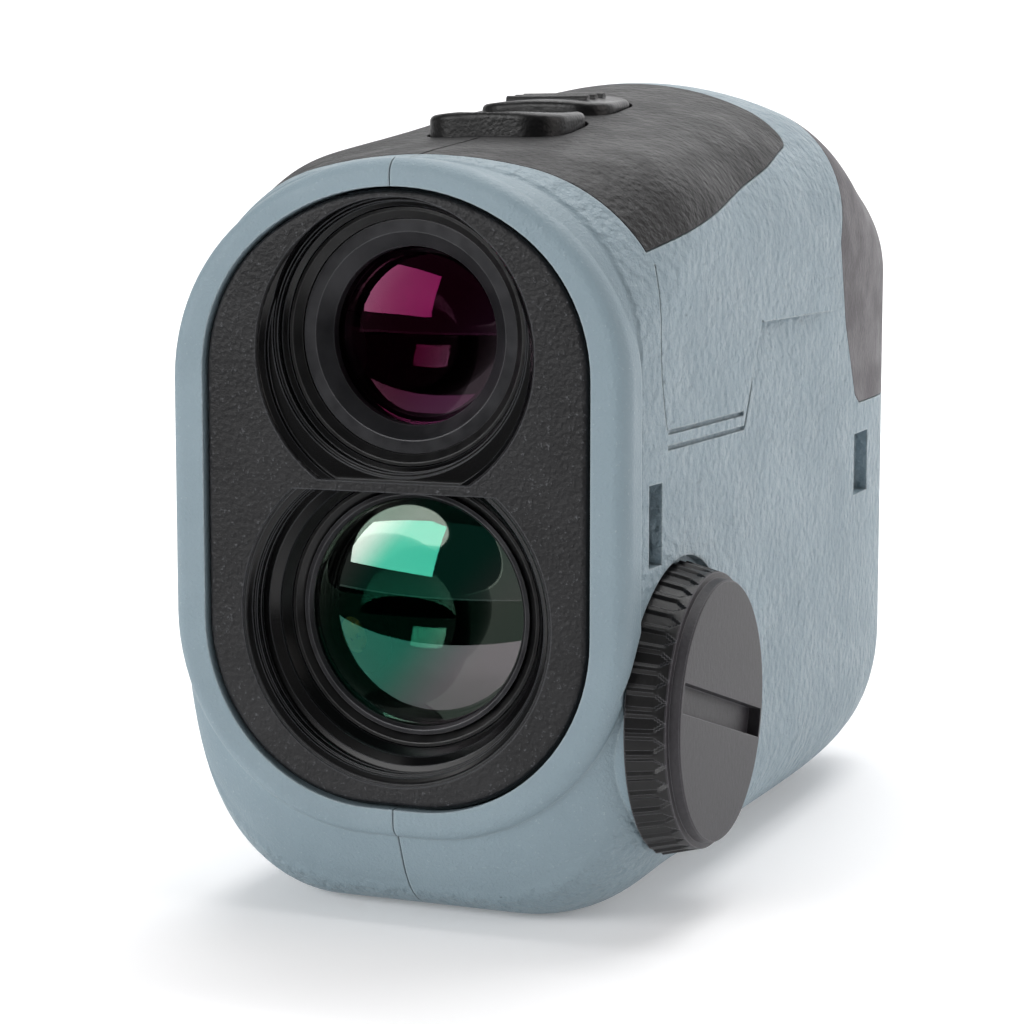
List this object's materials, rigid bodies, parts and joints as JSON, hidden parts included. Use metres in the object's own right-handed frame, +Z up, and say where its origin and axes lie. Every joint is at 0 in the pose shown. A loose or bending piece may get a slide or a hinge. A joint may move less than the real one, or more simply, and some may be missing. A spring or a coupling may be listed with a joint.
{
  "type": "handheld laser rangefinder",
  "caption": "Handheld monocular laser rangefinder with stacked front lenses, top keys, a coin-slot battery cap on the side and a focusing eyepiece.",
  "frame": {"origin": "on the flat underside, on the housing's split plane, 45 mm behind the front rim", "axes": "+Z up, -Y the way the lenses look, +X towards the battery cap"},
  "size_m": [0.0485, 0.105, 0.0769],
  "materials": {
    "body_shell": "fine moulded grain, soft-touch paint",
    "bezel_black": "fine sparked grain",
    "barrel_black": "black anodised",
    "ring_dark": "satin dark anodised",
    "sight_glass": "magenta anti-reflection coating",
    "laser_glass": "green anti-reflection coating",
    "eye_glass": "faint green anti-reflection coating",
    "cover_black": "leather grain",
    "key_black": "satin",
    "rear_panel": "fine moulded grain",
    "ring_plastic": "knurled, satin",
    "eyecup_rubber": "matt",
    "cap_plastic": "satin",
    "seal_rubber": "greased",
    "contact_metal": "nickel plated",
    "inner_plastic": "moulded",
    "cell_steel": "bright",
    "switch_plastic": "moulded",
    "circuit_board": "solder mask",
    "can_metal": "gold plated",
    "prism_glass": "polished",
    "display_glass": "polished",
    "screw_steel": "black oxide"
  },
  "bodies": {
    "root": {"right_housing": "body_shell", "left_housing": "body_shell", "front_bezel": "bezel_black", "upper_lens_barrel": "barrel_black", "lower_lens_barrel": "barrel_black", "upper_retaining_ring": "ring_dark", "lower_retaining_ring": "ring_dark", "upper_objective_lens": "sight_glass", "lower_objective_lens": "laser_glass", "top_cover": "cover_black", "tact_switches": "switch_plastic", "key_board": "circuit_board", "main_board": "circuit_board", "laser_module": "can_metal", "receiver_sensor": "can_metal", "receiver_board": "circuit_board", "prism_block": "prism_glass", "prism_holder": "inner_plastic", "display_panel": "display_glass", "rear_cover": "rear_panel", "eyepiece_tube": "barrel_black", "battery_cup": "inner_plastic", "coin_cells": "cell_steel", "contact_spring": "contact_metal", "housing_screws": "screw_steel"},
    "fire_button": {"fire_button": "key_black"},
    "mode_button": {"mode_button": "key_black"},
    "cap_carrier": {"cap_seal": "seal_rubber"},
    "battery_cap": {"battery_cap": "cap_plastic", "cap_contact": "contact_metal"},
    "diopter": {"diopter_ring": "ring_plastic", "eyecup": "eyecup_rubber"},
    "lens_cell": {"eye_lens_cell": "barrel_black", "eye_lens": "eye_glass", "focus_pin": "screw_steel"}
  },
  "joints": [
    {"name": "fire_press", "type": "slide", "parent": "root", "child": "fire_button", "axis": [0, 0, -1], "range_m": [0, 0.0006], "stiffness_N_per_m": 2500, "springref_m": -0.0003},
    {"name": "mode_press", "type": "slide", "parent": "root", "child": "mode_button", "axis": [0, 0, -1], "range_m": [0, 0.0006], "stiffness_N_per_m": 2500, "springref_m": -0.0003},
    {"name": "cap_slide", "type": "slide", "parent": "root", "child": "cap_carrier", "axis": [1, 0, 0], "range_m": [0, 0.0024]},
    {"name": "cap_turn", "type": "hinge", "parent": "cap_carrier", "child": "battery_cap", "pos_m": [0.0226, -0.03065, 0.0192], "axis": [1, 0, 0], "range_deg": [0, 720]},
    {"name": "diopter_turn", "type": "hinge", "parent": "root", "child": "diopter", "pos_m": [0, 0.0506, 0.0529], "axis": [0, 1, 0], "range_deg": [-60, 60]},
    {"name": "lens_cell_slide", "type": "slide", "parent": "root", "child": "lens_cell", "axis": [0, 1, 0], "range_m": [-0.0008, 0.0008]}
  ],
  "couplings": [
    {"joint": "cap_slide", "follows": "cap_turn", "m_per_rad": 0.00019098},
    {"joint": "lens_cell_slide", "follows": "diopter_turn", "m_per_rad": -0.00076394}
  ]
}
